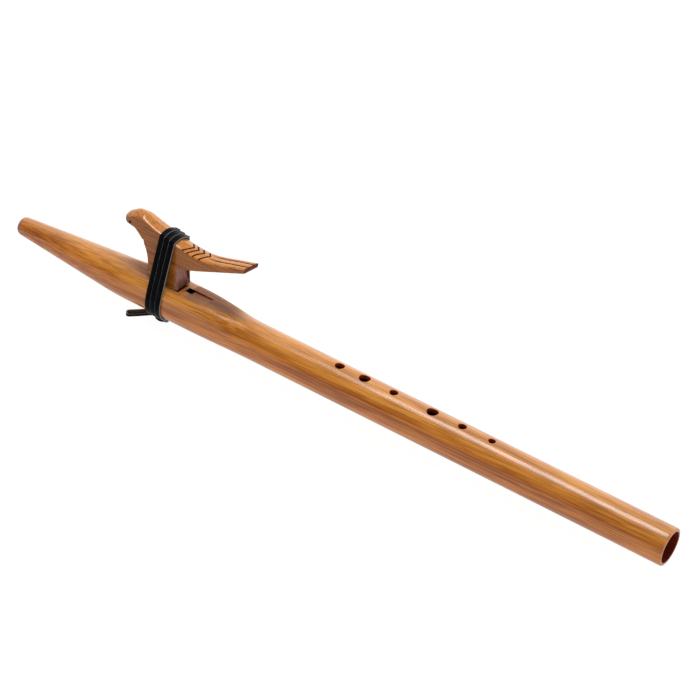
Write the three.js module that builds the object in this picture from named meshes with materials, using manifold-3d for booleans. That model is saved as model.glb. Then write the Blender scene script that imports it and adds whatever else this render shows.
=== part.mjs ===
// Wooden love flute: a two-halves body, a carved bird block and a leather lace.
// Millimetres. X runs from the mouth end to the foot, Z up through the finger holes.
import * as THREE from 'three';
import Module from 'manifold-3d';
import { mergeVertices } from 'three/addons/utils/BufferGeometryUtils.js';

const wasm = await Module();
wasm.setup();

// Body, outside
const bodyLength = 634.4;
const tubeRadius = 16;
const mouthRadius = 7.9;
const taperLength = 110.7;
const taperBlend = 12;
const nestRadius = 17.1;
const nestFlatHeight = 16.6;
const nestLeadIn = 55.6;
const nestPlateau = 20.6;
const nestRunOut = 57.8;
const nestToTube = 68;
const nestExponent = 4.1;
const mouthRounding = 2;
const footRounding = 1.4;

// Body, inside
const tubeWall = 3.3;
const footChamfer = 0.8;
const mouthHoleRadius = 4.5;
const mouthHoleChamfer = 0.7;
const mouthHoleLength = 28;
const slowChamberRadius = 12.2;
const slowChamberTaper = 76;
const dividerStart = 154;
const dividerLength = 17;
const airExitRadius = 3.2;
const airExitSetback = 7;

// Sound hole and the ramp behind its edge
const soundHoleStart = 174;
const soundHoleLength = 5.7;
const soundHoleWidth = 6.8;
const rampLength = 18.6;
const rampDepthAtHole = 1.7;
const rampDepthAtEnd = 1.1;

// Finger holes: distance of the first, steps to the next ones, and radii
const firstFingerHole = 326.8;
const fingerHoleSteps = [0, 24.2, 27.9, 36.8, 27.9, 27.5];
const fingerHoleRadii = [4.1, 4.8, 3.6, 4.9, 3.6, 3.05];

// Bird block, measured from the flat it sits on
const birdStart = 107.1;
const birdLength = 126.3;
const birdHeight = 51.8;
const birdHalfWidth = 8;
const birdCrown = 2.6;
const footStart = 137.5;
const footFront = 171.2;
const footHalfWidth = 9.2;
const footCorner = 2.2;
const footTop = 29;
const breastLean = 8.3;
const flueWidth = 9;
const flueDepth = 0.7;
const scoopRadius = 12;
const scoopDepth = 7.2;
const scoopHeight = 23;
const birdSeatGap = 0.05;

// Leather lace
const laceWidth = 4.6;
const laceThickness = 2.1;
const laceGap = 0.45;
const laceBevel = 0.5;
const laceStart = 146.1;
const laceLean = -0.8;
const laceSkew = 3;
const laceLoops = 3;
const laceClearance = 0.4;
const laceSideHeight = 8;
const laceEndOverlap = 1;
const laceShoulderShare = 1.15;
const knotGap = 0.3;
const knotStrapHeight = 2;
const knotLumpRadius = 3.4;
const knotLumpHeight = 3.6;
const cutEndWidth = 3.2;

// How finely round things are stepped
const cutOverrun = 3;
const bodySides = 48;
const boreSides = 40;
const holeSides = 24;
const nestStep = 8;
const roundingSteps = 3;
const birdStations = 26;
const headStationsShare = 0.4;
const headStationsPower = 1.5;
const crownSteps = 8;
const breastSteps = 7;
const loopSteps = 24;
const circleDegrees = 360;

const nestPlateauStart = taperLength - taperBlend / 4 + nestLeadIn;
const nestPlateauEnd = nestPlateauStart + nestPlateau;
const tubeStart = nestPlateauEnd + nestToTube;
const soundChamberStart = dividerStart + dividerLength;
const soundBoreRadius = tubeRadius - tubeWall;
const airExitCentre = dividerStart - airExitSetback;
const lacePitch = laceWidth + laceGap;

// Solids

function toSolid(geometry) {
  const bare = geometry.clone();
  bare.deleteAttribute('normal');
  bare.deleteAttribute('uv');
  const merged = mergeVertices(bare);
  return new wasm.Manifold(new wasm.Mesh({
    numProp: 3,
    vertProperties: new Float32Array(merged.attributes.position.array),
    triVerts: new Uint32Array(merged.index.array),
  }));
}

function toGeometry(solid) {
  const mesh = solid.getMesh();
  const geometry = new THREE.BufferGeometry();
  geometry.setAttribute('position', new THREE.BufferAttribute(mesh.vertProperties, 3));
  geometry.setIndex(new THREE.BufferAttribute(mesh.triVerts, 1));
  geometry.computeVertexNormals();
  return geometry;
}

// Closed skin over rings of equal count, each anticlockwise seen from the last ring's side.
function loft(rings) {
  const count = rings[0].length;
  const points = rings.flat();
  const faces = [];
  for (let i = 0; i + 1 < rings.length; i += 1) {
    for (let j = 0; j < count; j += 1) {
      const next = (j + 1) % count;
      const a = i * count + j;
      const b = i * count + next;
      faces.push(a, b, b + count, a, b + count, a + count);
    }
  }
  const firstCentre = points.length;
  const lastCentre = firstCentre + 1;
  const lastRing = (rings.length - 1) * count;
  points.push(ringCentre(rings[0]), ringCentre(rings[rings.length - 1]));
  for (let j = 0; j < count; j += 1) {
    const next = (j + 1) % count;
    faces.push(firstCentre, next, j, lastCentre, lastRing + j, lastRing + next);
  }
  const geometry = new THREE.BufferGeometry().setFromPoints(points);
  geometry.setIndex(faces);
  return geometry;
}

function ringCentre(ring) {
  const sum = ring.reduce((total, point) => total.add(point), new THREE.Vector3());
  return sum.divideScalar(ring.length);
}

// A shape turned about the bore axis from points of distance along X and radius.
function turned(profile, sides) {
  const outline = profile.map(([along, radius]) => new THREE.Vector2(radius, along));
  return toSolid(new THREE.LatheGeometry(outline, sides).rotateZ(-Math.PI / 2));
}

function box(lowX, highX, lowY, highY, lowZ, highZ) {
  const geometry = new THREE.BoxGeometry(highX - lowX, highY - lowY, highZ - lowZ);
  geometry.translate((lowX + highX) / 2, (lowY + highY) / 2, (lowZ + highZ) / 2);
  return toSolid(geometry);
}

function uprightHole(x, radius, lowZ, highZ) {
  const geometry = new THREE.CylinderGeometry(radius, radius, highZ - lowZ, holeSides);
  geometry.rotateX(Math.PI / 2);
  geometry.translate(x, 0, (lowZ + highZ) / 2);
  return toSolid(geometry);
}

function smooth(value, low, high) {
  return THREE.MathUtils.smoothstep(value, low, high);
}

// Body

function bodyRadius(x) {
  const slope = (nestRadius - mouthRadius) / taperLength;
  const taper = mouthRadius + slope * x;
  const short = Math.max(0, 1 - Math.abs(x - taperLength) / taperBlend);
  const nest = Math.min(taper, nestRadius) - slope * taperBlend * short * short / 4;
  return nest - (nestRadius - tubeRadius) * smooth(x, nestPlateauEnd, tubeStart);
}

// The upper half swells from a circle to a squarish arch where the block sits.
function bodyExponent(x) {
  const rise = smooth(x, nestPlateauStart - nestLeadIn, nestPlateauStart);
  const fall = smooth(x, nestPlateauEnd, nestPlateauEnd + nestRunOut);
  return 2 + (nestExponent - 2) * rise * (1 - fall);
}

function bodyRing(x, radius) {
  const exponent = bodyExponent(x);
  const ring = [];
  for (let j = 0; j < bodySides; j += 1) {
    const angle = 2 * Math.PI * j / bodySides;
    const across = Math.cos(angle);
    const up = Math.sin(angle);
    const power = up > 0 ? 2 / exponent : 1;
    ring.push(new THREE.Vector3(
      x,
      radius * Math.sign(across) * Math.abs(across) ** power,
      radius * Math.sign(up) * Math.abs(up) ** power,
    ));
  }
  return ring;
}

function bodyHalfWidth(x, z) {
  const radius = bodyRadius(x);
  const exponent = bodyExponent(x);
  return radius * (1 - (z / radius) ** exponent) ** (1 / exponent);
}

function bodyOutside() {
  const rings = [];
  for (let i = 0; i <= roundingSteps; i += 1) {
    const turn = Math.PI / 2 * i / roundingSteps;
    const x = mouthRounding * (1 - Math.cos(turn));
    rings.push(bodyRing(x, bodyRadius(x) - mouthRounding * (1 - Math.sin(turn))));
  }
  rings.push(bodyRing(taperLength / 2, bodyRadius(taperLength / 2)));
  for (let x = taperLength - taperBlend; x < tubeStart; x += nestStep) {
    rings.push(bodyRing(x, bodyRadius(x)));
  }
  rings.push(bodyRing(tubeStart, tubeRadius));
  for (let i = 0; i <= roundingSteps; i += 1) {
    const turn = Math.PI / 2 * i / roundingSteps;
    const x = bodyLength - footRounding * (1 - Math.sin(turn));
    rings.push(bodyRing(x, tubeRadius - footRounding * (1 - Math.cos(turn))));
  }
  return toSolid(loft(rings));
}

function slowAirChamber() {
  return turned([
    [-cutOverrun, 0],
    [-cutOverrun, mouthHoleRadius + mouthHoleChamfer],
    [0, mouthHoleRadius + mouthHoleChamfer],
    [mouthHoleChamfer, mouthHoleRadius],
    [mouthHoleLength, mouthHoleRadius],
    [mouthHoleLength + slowChamberTaper, slowChamberRadius],
    [dividerStart, slowChamberRadius],
    [dividerStart, 0],
  ], boreSides);
}

function soundChamber() {
  return turned([
    [soundChamberStart, 0],
    [soundChamberStart, soundBoreRadius],
    [bodyLength - footChamfer, soundBoreRadius],
    [bodyLength, soundBoreRadius + footChamfer],
    [bodyLength + cutOverrun, soundBoreRadius + footChamfer],
    [bodyLength + cutOverrun, 0],
  ], boreSides);
}

function soundHole() {
  const half = soundHoleWidth / 2;
  const top = nestRadius + cutOverrun;
  return box(soundHoleStart, soundHoleStart + soundHoleLength, -half, half, 0, top);
}

function soundRamp() {
  const start = soundHoleStart + soundHoleLength / 2;
  const end = soundHoleStart + soundHoleLength + rampLength;
  const top = nestRadius + cutOverrun;
  const side = new THREE.Shape([
    new THREE.Vector2(start, nestFlatHeight - rampDepthAtHole),
    new THREE.Vector2(end, nestFlatHeight - rampDepthAtEnd),
    new THREE.Vector2(end, top),
    new THREE.Vector2(start, top),
  ]);
  const geometry = new THREE.ExtrudeGeometry(side, { depth: soundHoleWidth, bevelEnabled: false });
  geometry.rotateX(Math.PI / 2);
  geometry.translate(0, soundHoleWidth / 2, 0);
  return toSolid(geometry);
}

function fingerHoles() {
  let x = firstFingerHole;
  return fingerHoleSteps.map((step, i) => {
    x += step;
    return uprightHole(x, fingerHoleRadii[i], 0, tubeRadius + cutOverrun);
  });
}

function bodyWhole() {
  const beyond = nestRadius + cutOverrun;
  const cuts = [
    box(-cutOverrun, bodyLength, -beyond, beyond, nestFlatHeight, beyond),
    slowAirChamber(),
    soundChamber(),
    uprightHole(airExitCentre, airExitRadius, 0, beyond),
    soundHole(),
    soundRamp(),
    ...fingerHoles(),
  ];
  return cuts.reduce((solid, cut) => solid.subtract(cut), bodyOutside());
}

function halfSpace(lowZ, highZ) {
  const beyond = nestRadius + cutOverrun;
  return box(-cutOverrun, bodyLength + cutOverrun, -beyond, beyond, lowZ, highZ);
}

// Bird block, as shares of its length and height

const backShares = [
  [0, 0.835], [0.01, 0.85], [0.03, 0.865], [0.05, 0.885], [0.08, 0.93], [0.112, 0.963],
  [0.154, 0.968], [0.223, 0.912], [0.317, 0.85], [0.421, 0.794], [0.489, 0.765], [0.581, 0.745],
  [0.65, 0.745], [0.74, 0.792], [0.86, 0.878], [1, 0.975],
];
const bellyShares = [
  [0, 0.8], [0.01, 0.775], [0.035, 0.755], [0.075, 0.745], [0.105, 0.73], [0.165, 0.61],
  [0.215, 0.48], [0.27, 0.42], [0.33, 0.4], [0.5, 0.41], [0.6, 0.49], [0.76, 0.65],
  [0.93, 0.82], [1, 0.895],
];
const widthShares = [
  [0, 0.3], [0.01, 0.52], [0.03, 0.72], [0.06, 0.83], [0.1, 0.88], [0.16, 0.9], [0.25, 0.98],
  [0.35, 1], [0.8, 1], [1, 0.97],
];
const crownShares = [
  [0, 0.3], [0.03, 1.5], [0.08, 1.7], [0.13, 1.2], [0.2, 1], [0.6, 0.9], [0.75, 0.3], [1, 0.12],
];

function shareAt(shares, along) {
  let i = 0;
  while (i + 2 < shares.length && along > shares[i + 1][0]) i += 1;
  const before = shares[Math.max(i - 1, 0)];
  const start = shares[i];
  const end = shares[i + 1];
  const after = shares[Math.min(i + 2, shares.length - 1)];
  const span = end[0] - start[0];
  const t = THREE.MathUtils.clamp((along - start[0]) / span, 0, 1);
  const leave = (end[1] - before[1]) / (end[0] - before[0]) * span;
  const arrive = (after[1] - start[1]) / (after[0] - start[0]) * span;
  return start[1] * (2 * t ** 3 - 3 * t ** 2 + 1) + leave * (t ** 3 - 2 * t ** 2 + t)
    + end[1] * (3 * t ** 2 - 2 * t ** 3) + arrive * (t ** 3 - t ** 2);
}

function birdSection(along) {
  const base = nestFlatHeight + birdSeatGap;
  const halfWidth = birdHalfWidth * shareAt(widthShares, along);
  return {
    x: birdStart + birdLength * along,
    halfWidth,
    belly: base + birdHeight * shareAt(bellyShares, along),
    arris: base + birdHeight * shareAt(backShares, along),
    crown: birdCrown * shareAt(crownShares, along),
  };
}

function birdRing(along) {
  const section = birdSection(along);
  const { x, halfWidth, belly, arris, crown } = section;
  const ring = [new THREE.Vector3(x, -halfWidth, belly), new THREE.Vector3(x, halfWidth, belly)];
  for (let j = 0; j <= crownSteps; j += 1) {
    const across = 1 - 2 * j / crownSteps;
    ring.push(new THREE.Vector3(x, halfWidth * across, arris + crown * (1 - across * across)));
  }
  return ring;
}

function birdFigure() {
  const rings = [];
  for (let i = 0; i <= birdStations; i += 1) {
    const even = i / birdStations;
    const crowded = even ** headStationsPower;
    rings.push(birdRing(THREE.MathUtils.lerp(even, crowded, headStationsShare)));
  }
  return toSolid(loft(rings));
}

// The block's foot, standing on the flat between the breast and the front.
function footRing(height, halfWidth, start) {
  const ring = [];
  const corners = [
    [footFront - footCorner, halfWidth - footCorner, 0],
    [start + footCorner, halfWidth - footCorner, 1],
    [start + footCorner, footCorner - halfWidth, 2],
    [footFront - footCorner, footCorner - halfWidth, 3],
  ];
  for (const [x, y, quarter] of corners) {
    for (let i = 0; i <= roundingSteps; i += 1) {
      const angle = Math.PI / 2 * (quarter + i / roundingSteps);
      ring.push(new THREE.Vector3(
        x + footCorner * Math.cos(angle),
        y + footCorner * Math.sin(angle),
        nestFlatHeight + birdSeatGap + height,
      ));
    }
  }
  return ring;
}

function birdFoot() {
  const rings = [];
  for (let i = 0; i <= breastSteps; i += 1) {
    const share = i / breastSteps;
    const halfWidth = THREE.MathUtils.lerp(footHalfWidth, birdHalfWidth, share);
    const start = footStart - breastLean * share ** 3;
    rings.push(footRing(footTop * share, halfWidth, start));
  }
  return toSolid(loft(rings));
}

// A scooped hollow up the front of the foot, round in plan and arched from the flat to its top.
const scoopShares = [
  [0.04, 0.37], [0.15, 0.67], [0.31, 0.87], [0.58, 1], [0.78, 0.88], [0.89, 0.67], [0.97, 0.28],
];

function scoop() {
  const [[, narrowShare]] = scoopShares;
  const outline = [
    new THREE.Vector2(0, nestFlatHeight - cutOverrun),
    new THREE.Vector2(scoopRadius * narrowShare, nestFlatHeight - cutOverrun),
    ...scoopShares.map(([heightShare, radiusShare]) => (
      new THREE.Vector2(scoopRadius * radiusShare, nestFlatHeight + scoopHeight * heightShare)
    )),
    new THREE.Vector2(0, nestFlatHeight + scoopHeight),
  ];
  const geometry = new THREE.LatheGeometry(outline, boreSides).rotateX(Math.PI / 2);
  geometry.translate(footFront + scoopRadius - scoopDepth, 0, 0);
  return toSolid(geometry);
}

function flue() {
  const half = flueWidth / 2;
  const base = nestFlatHeight + birdSeatGap;
  const start = airExitCentre - airExitRadius;
  return box(start, footFront + cutOverrun, -half, half, base - cutOverrun, base + flueDepth);
}

function birdBlock() {
  return birdFigure().add(birdFoot()).subtract(scoop()).subtract(flue());
}

// Lace

// Six-sided strap section, swept along points that each carry an outward direction.
function strap(route, width) {
  const half = width / 2;
  const deep = laceThickness / 2;
  const section = [
    [-half, 0], [laceBevel - half, -deep], [half - laceBevel, -deep],
    [half, 0], [half - laceBevel, deep], [laceBevel - half, deep],
  ];
  return route.map(({ point, outward, across }) => section.map(([wide, out]) => (
    point.clone().addScaledVector(across, wide).addScaledVector(outward, out)
  )));
}

// Half of one turn, from under the body to the top of the bird's back, as Y and Z.
function laceHalfTurn(x) {
  const offset = laceClearance + laceThickness / 2;
  const section = birdSection((x - birdStart) / birdLength);
  const under = bodyRadius(x) + offset;
  const points = [];
  for (let degrees = -90; degrees <= 0; degrees += circleDegrees / loopSteps) {
    const angle = THREE.MathUtils.degToRad(degrees);
    points.push([under * Math.cos(angle), under * Math.sin(angle)]);
  }
  const side = section.halfWidth + offset;
  points.push([bodyHalfWidth(x, laceSideHeight) + offset, laceSideHeight]);
  points.push([(side + under) / 2, (laceSideHeight + section.arris) / 2]);
  points.push([side, section.arris - offset / 2]);
  points.push([section.halfWidth + offset / 2, section.arris + offset]);
  const shoulder = section.arris + section.crown * 3 / 4 + offset * laceShoulderShare;
  points.push([section.halfWidth / 2, shoulder]);
  points.push([0, section.arris + section.crown + offset * laceShoulderShare]);
  return points;
}

function laceTurns() {
  const points = [];
  const halfSteps = loopSteps / 2;
  for (let step = 0; step <= laceLoops * loopSteps; step += 1) {
    const x = laceStart + lacePitch * step / loopSteps;
    const inTurn = step % loopSteps;
    const climbing = inTurn <= halfSteps;
    const place = climbing ? inTurn : loopSteps - inTurn;
    const half = laceHalfTurn(x);
    const drop = (half[halfSteps][1] - half[place][1]) / (half[halfSteps][1] - half[0][1]);
    const across = climbing ? half[place][0] : -half[place][0];
    const skew = laceSkew * (1 - drop) * smooth(across, -birdHalfWidth, birdHalfWidth);
    const shifted = x + laceLean * drop + skew;
    const [y, z] = laceHalfTurn(shifted)[place];
    points.push(new THREE.Vector3(shifted, climbing ? y : -y, z));
  }
  return points;
}

function laceWindingRings() {
  const points = laceTurns();
  const first = points[0];
  const last = points[points.length - 1];
  points[0] = first.clone().setY(laceWidth - laceEndOverlap);
  points.unshift(first.clone().setY(-laceEndOverlap));
  points[points.length - 1] = last.clone().setY(laceEndOverlap - laceWidth);
  points.push(last.clone().setY(laceEndOverlap));
  const across = new THREE.Vector3(1, 0, 0);
  const route = points.map((point, i) => {
    const ahead = points[Math.min(i + 1, points.length - 1)];
    const behind = points[Math.max(i - 1, 0)];
    const along = ahead.clone().sub(behind).setX(0).normalize();
    return { point, outward: new THREE.Vector3(0, along.z, -along.y), across };
  });
  return strap(route, laceWidth);
}

// Least distance between points of the winding that lie more than half a turn apart.
function leastGap(rings) {
  let least = Infinity;
  for (let i = 0; i < rings.length; i += 1) {
    for (let k = i + loopSteps / 2; k < rings.length; k += 1) {
      for (const a of denser(rings[i])) {
        for (const b of denser(rings[k])) least = Math.min(least, a.distanceTo(b));
      }
    }
  }
  return least;
}

function denser(ring) {
  return ring.flatMap((point, j) => [
    point,
    point.clone().lerp(ring[(j + 1) % ring.length], 1 / 2),
  ]);
}

function laceKnot() {
  const firstX = laceStart + laceLean;
  const lastX = firstX + lacePitch * laceLoops;
  const middleX = (firstX + lastX) / 2;
  const under = nestRadius + laceClearance + laceThickness;
  const top = -under - knotGap;
  const low = top - knotStrapHeight;
  const lugTop = -nestRadius - knotGap;
  const half = laceWidth / 2 - knotGap / 2;
  const near = laceEndOverlap + knotGap;
  const far = near + laceWidth;
  const length = Math.hypot(lastX - firstX, near + far);
  const strapGeometry = new THREE.BoxGeometry(length, laceWidth, knotStrapHeight);
  strapGeometry.rotateZ(Math.atan2(near + far, lastX - firstX));
  strapGeometry.translate(middleX, 0, (top + low) / 2);
  const lump = new THREE.SphereGeometry(1, holeSides, holeSides / 2).rotateX(Math.PI / 2);
  lump.scale(knotLumpRadius, knotLumpRadius, knotLumpHeight);
  lump.translate(middleX, 0, top);
  const beyond = knotLumpHeight + cutOverrun;
  const lower = box(firstX, lastX, -far, far, top - beyond, top);
  return toSolid(strapGeometry)
    .add(toSolid(lump).intersect(lower))
    .add(box(firstX - half, firstX + half, -far, -near, low, lugTop))
    .add(box(lastX - half, lastX + half, near, far, low, lugTop));
}

// The bight that sticks out to the side of the knot, and the short cut end opposite.
const tailTop = -(nestRadius + laceClearance + laceThickness + knotGap);
const bightRoute = [
  [149.3, 2.3], [145.4, 2], [141.4, -0.7], [137.3, -5.9], [132.7, -11.6], [129.6, -15.1],
  [127.9, -15.7], [127.3, -14.3], [129.2, -11.4], [133.4, -6.6], [137.7, -1.2], [143, 3.8], [150.3, 4.9],
];
const stubRoute = [[156.6, -2.1], [158.2, -2.5], [160.2, -3.1]];

function tailStrap(pointsXY, width, edgewise) {
  const z = tailTop - (edgewise ? width : laceThickness) / 2;
  const points = pointsXY.map(([x, y]) => new THREE.Vector3(x, y, z));
  const curve = new THREE.CatmullRomCurve3(points);
  const smoothPoints = curve.getPoints(2 * (points.length - 1));
  const up = new THREE.Vector3(0, 0, 1);
  return strap(smoothPoints.map((point, i) => {
    const ahead = smoothPoints[Math.min(i + 1, smoothPoints.length - 1)];
    const behind = smoothPoints[Math.max(i - 1, 0)];
    const along = ahead.clone().sub(behind).normalize();
    const side = new THREE.Vector3(along.y, -along.x, 0);
    return edgewise ? { point, outward: side, across: up } : { point, outward: up, across: side.negate() };
  }), width);
}

// Assembly

const bodyWood = { color: 0xb9763a, roughness: 0.32, metalness: 0 };
const birdWood = { color: 0xa96a36, roughness: 0.42, metalness: 0 };
const leather = { color: 0x17171a, roughness: 0.55, metalness: 0 };

function piece(name, geometry, finish) {
  const mesh = new THREE.Mesh(geometry, new THREE.MeshStandardMaterial(finish));
  mesh.name = name;
  return mesh;
}

const whole = bodyWhole();
const beyond = nestRadius + cutOverrun;
const body = new THREE.Group();
body.add(
  piece('body_upper_half', toGeometry(whole.intersect(halfSpace(0, beyond))), bodyWood),
  piece('body_lower_half', toGeometry(whole.intersect(halfSpace(-beyond, 0))), bodyWood),
);

const windingRings = laceWindingRings();
console.log(`lace winding least gap ${leastGap(windingRings).toFixed(2)} mm`);

const block = new THREE.Group();
block.add(
  piece('bird_block', toGeometry(birdBlock()), birdWood),
  piece('lace_winding', loft(windingRings), leather),
  piece('lace_knot', toGeometry(laceKnot()), leather),
  piece('lace_bight', loft(tailStrap(bightRoute, laceWidth, true)), leather),
  piece('lace_end', loft(tailStrap(stubRoute, cutEndWidth, false)), leather),
);

const flute = new THREE.Group();
flute.add(body, block);

// The origin is the middle of the box around the whole flute.
const middle = new THREE.Box3().setFromObject(flute).getCenter(new THREE.Vector3());
flute.position.sub(middle);

export default flute;
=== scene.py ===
"""A cedar flute with a carved bird block tied on by a black leather lace, in its finish."""

from math import copysign, cos, pi, radians, sin, sqrt
from types import SimpleNamespace

import bmesh
import bpy
from mathutils import Matrix, Vector


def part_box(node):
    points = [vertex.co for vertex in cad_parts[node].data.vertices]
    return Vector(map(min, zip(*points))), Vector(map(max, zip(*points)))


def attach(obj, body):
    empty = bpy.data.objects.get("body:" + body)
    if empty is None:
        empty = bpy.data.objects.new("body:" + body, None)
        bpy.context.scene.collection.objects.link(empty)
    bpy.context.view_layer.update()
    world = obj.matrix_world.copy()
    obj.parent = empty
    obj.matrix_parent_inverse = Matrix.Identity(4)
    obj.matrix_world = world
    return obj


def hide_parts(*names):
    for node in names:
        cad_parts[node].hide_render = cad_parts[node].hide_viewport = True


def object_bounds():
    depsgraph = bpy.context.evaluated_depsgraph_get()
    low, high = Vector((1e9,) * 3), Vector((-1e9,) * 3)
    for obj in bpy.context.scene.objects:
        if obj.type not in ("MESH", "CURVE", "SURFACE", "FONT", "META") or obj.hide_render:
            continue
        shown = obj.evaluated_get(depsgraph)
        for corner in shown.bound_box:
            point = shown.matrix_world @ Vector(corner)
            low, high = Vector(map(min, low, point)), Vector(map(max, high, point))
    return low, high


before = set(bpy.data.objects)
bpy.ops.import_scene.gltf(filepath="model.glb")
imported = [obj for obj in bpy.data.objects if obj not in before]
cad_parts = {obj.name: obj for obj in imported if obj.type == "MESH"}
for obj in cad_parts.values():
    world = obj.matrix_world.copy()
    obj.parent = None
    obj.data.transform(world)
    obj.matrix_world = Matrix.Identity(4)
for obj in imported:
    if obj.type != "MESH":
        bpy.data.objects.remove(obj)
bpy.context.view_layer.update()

MM = 0.001

# Where the flute lies in the frame: its mouth end along X and its bore axis in Z

mouth_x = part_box("body_lower_half")[0].x
bore_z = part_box("body_lower_half")[1].z


def at(x, y, z):
    """A point given in millimetres from the mouth end, on the bore axis."""
    return Vector((mouth_x + x * MM, y * MM, bore_z + z * MM))


def at_x(x):
    return at(x, 0, 0).x


def at_z(z):
    return at(0, 0, z).z


# Camera

camera_place = at(1166.3, -1555.59, 1216.35)
camera_aim = at(309.22, 45.312, 0)
camera_roll = 9.566
camera_lens = 136.88
camera_sensor = 36


def set_up_camera():
    camera = bpy.data.objects.new("camera", bpy.data.cameras.new("camera"))
    bpy.context.scene.collection.objects.link(camera)
    camera.data.lens = camera_lens
    camera.data.sensor_width = camera_sensor
    camera.data.clip_start, camera.data.clip_end = 10 * MM, 50
    look = (camera_aim - camera_place).to_track_quat("-Z", "Y").to_matrix().to_4x4()
    turn = Matrix.Rotation(radians(camera_roll), 4, "Z")
    camera.matrix_world = Matrix.Translation(camera_place) @ look @ turn
    bpy.context.scene.camera = camera


# Sizes of the body, in millimetres

body_length = 634.4
tube_radius = 16
mouth_radius = 7.9
taper_length = 110.7
taper_blend = 12
nest_radius = 17.1
flat_height = 16.6
nest_lead_in = 55.6
nest_plateau = 20.6
nest_run_out = 57.8
nest_to_tube = 68
nest_exponent = 4.1
mouth_rounding = 2
mouth_ease = 3.2
mouth_ease_turn = radians(62)
foot_rounding = 1.4
tube_wall = 3.3
bore_radius = tube_radius - tube_wall
foot_chamfer = 0.8
mouth_hole_radius = 4.5
mouth_hole_rounding = 0.7
mouth_hole_length = 28
slow_chamber_radius = 12.2
slow_chamber_taper = 76
divider_start = 154
divider_length = 17
air_exit_radius = 3.2
air_exit_x = 147
sound_hole_start = 174
sound_hole_length = 5.7
sound_hole_end = sound_hole_start + sound_hole_length
sound_hole_width = 6.8
ramp_length = 18.6
ramp_depth_at_hole = 1.7
ramp_depth_at_end = 1.1
first_finger_hole = 326.8
finger_hole_steps = (0, 24.2, 27.9, 36.8, 27.9, 27.5)
finger_hole_radii = (4.1, 4.8, 3.6, 4.9, 3.6, 3.05)
finger_hole_rim = 0.5
nest_start = taper_length - taper_blend / 4
plateau_start = nest_start + nest_lead_in
plateau_end = plateau_start + nest_plateau
tube_start = plateau_end + nest_to_tube
over = 2

# Sizes of the bird block, in millimetres

bird_start = 107.1
bird_length = 126.3
bird_base = flat_height + 0.05
bird_height = 51.8
bird_half_width = 8
bird_crown = 2.6
foot_start = 137.5
foot_front = 171.2
foot_half_width = 9.2
foot_corner = 2.2
foot_top = 29
breast_lean = 8.3
flue_width = 9
flue_height = 0.7
scoop_radius = 12
scoop_depth = 7.2
scoop_height = 23

back_shares = (
    (0, 0.835), (0.01, 0.85), (0.03, 0.865), (0.05, 0.885), (0.08, 0.93), (0.112, 0.963),
    (0.154, 0.968), (0.223, 0.912), (0.317, 0.85), (0.421, 0.794), (0.489, 0.765),
    (0.581, 0.745), (0.65, 0.745), (0.74, 0.792), (0.86, 0.878), (1, 0.975),
)
belly_shares = (
    (0, 0.8), (0.01, 0.775), (0.035, 0.755), (0.075, 0.745), (0.105, 0.73), (0.165, 0.61),
    (0.215, 0.48), (0.27, 0.42), (0.33, 0.4), (0.5, 0.41), (0.6, 0.49), (0.76, 0.65),
    (0.93, 0.82), (1, 0.895),
)
width_shares = (
    (0, 0.3), (0.01, 0.52), (0.03, 0.72), (0.06, 0.83), (0.1, 0.88), (0.16, 0.9),
    (0.25, 0.98), (0.35, 1), (0.8, 1), (1, 0.97),
)
crown_shares = (
    (0, 0.3), (0.03, 1.5), (0.08, 1.7), (0.12, 1.18), (0.16, 0.98), (0.2, 0.96), (0.6, 0.9),
    (0.75, 0.3), (1, 0.12),
)
arris_round_shares = (
    (0, 0.4), (0.03, 0.2), (0.06, 0.1), (0.13, 0.08), (0.3, 0.07), (0.5, 0.07), (0.62, 0.12),
    (0.8, 0.15), (1, 0.12),
)
scoop_set_back_shares = (
    (0, 0.65), (0.074, 0.71), (0.348, 0.89), (0.552, 1.13), (0.72, 1.11), (0.874, 0.98),
    (0.95, 0.8), (1, 0.66),
)
scoop_rows = 22
scoop_gap = 1.4
scoop_gap_depth = 2.4
scoop_base_radius = 30
scoop_base_share = 0.22
slit_length = 2.6
slit_depth = 0.25
slit_far_side = 4.5

# Sizes of the lace, in millimetres

lace_width = 4.8
lace_thickness = 1.9
lace_pitch = 5.05
lace_start = 149.3
lace_lean = -0.8
lace_skew = 2.2
lace_turns = 3
lace_clearance = 0.25
lace_side_height = 8
lace_offset = lace_clearance + lace_thickness / 2
lace_edge_rounding = 0.35
tail_top = -19.9
tail_width = 4.6
cut_end_width = 3.2
near_strand_width = 2.1
bight_thickness = 1.6


# Making shapes


def smoothstep(value, low, high):
    share = min(1, max(0, (value - low) / (high - low)))
    return share * share * (3 - 2 * share)


def mix(start, end, share):
    return start + (end - start) * share


def share_at(shares, along):
    """The value at a place along a table of shares, on a smooth curve through its points."""
    i = 0
    while i + 2 < len(shares) and along > shares[i + 1][0]:
        i += 1
    before, start = shares[max(i - 1, 0)], shares[i]
    end, after = shares[i + 1], shares[min(i + 2, len(shares) - 1)]
    span = end[0] - start[0]
    t = min(1, max(0, (along - start[0]) / span))
    leave = (end[1] - before[1]) / (end[0] - before[0]) * span
    arrive = (after[1] - start[1]) / (after[0] - start[0]) * span
    return (
        start[1] * (2 * t**3 - 3 * t**2 + 1)
        + leave * (t**3 - 2 * t**2 + t)
        + end[1] * (3 * t**2 - 2 * t**3)
        + arrive * (t**3 - t**2)
    )


def spaced(low, high, step):
    """Places from low to high, both included, about a step apart."""
    count = max(1, round((high - low) / step))
    return [mix(low, high, i / count) for i in range(count + 1)]


def around(radius, corners):
    """Pairs of places on a circle."""
    angles = (2 * pi * i / corners for i in range(corners))
    return [(radius * cos(angle), radius * sin(angle)) for angle in angles]


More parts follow.
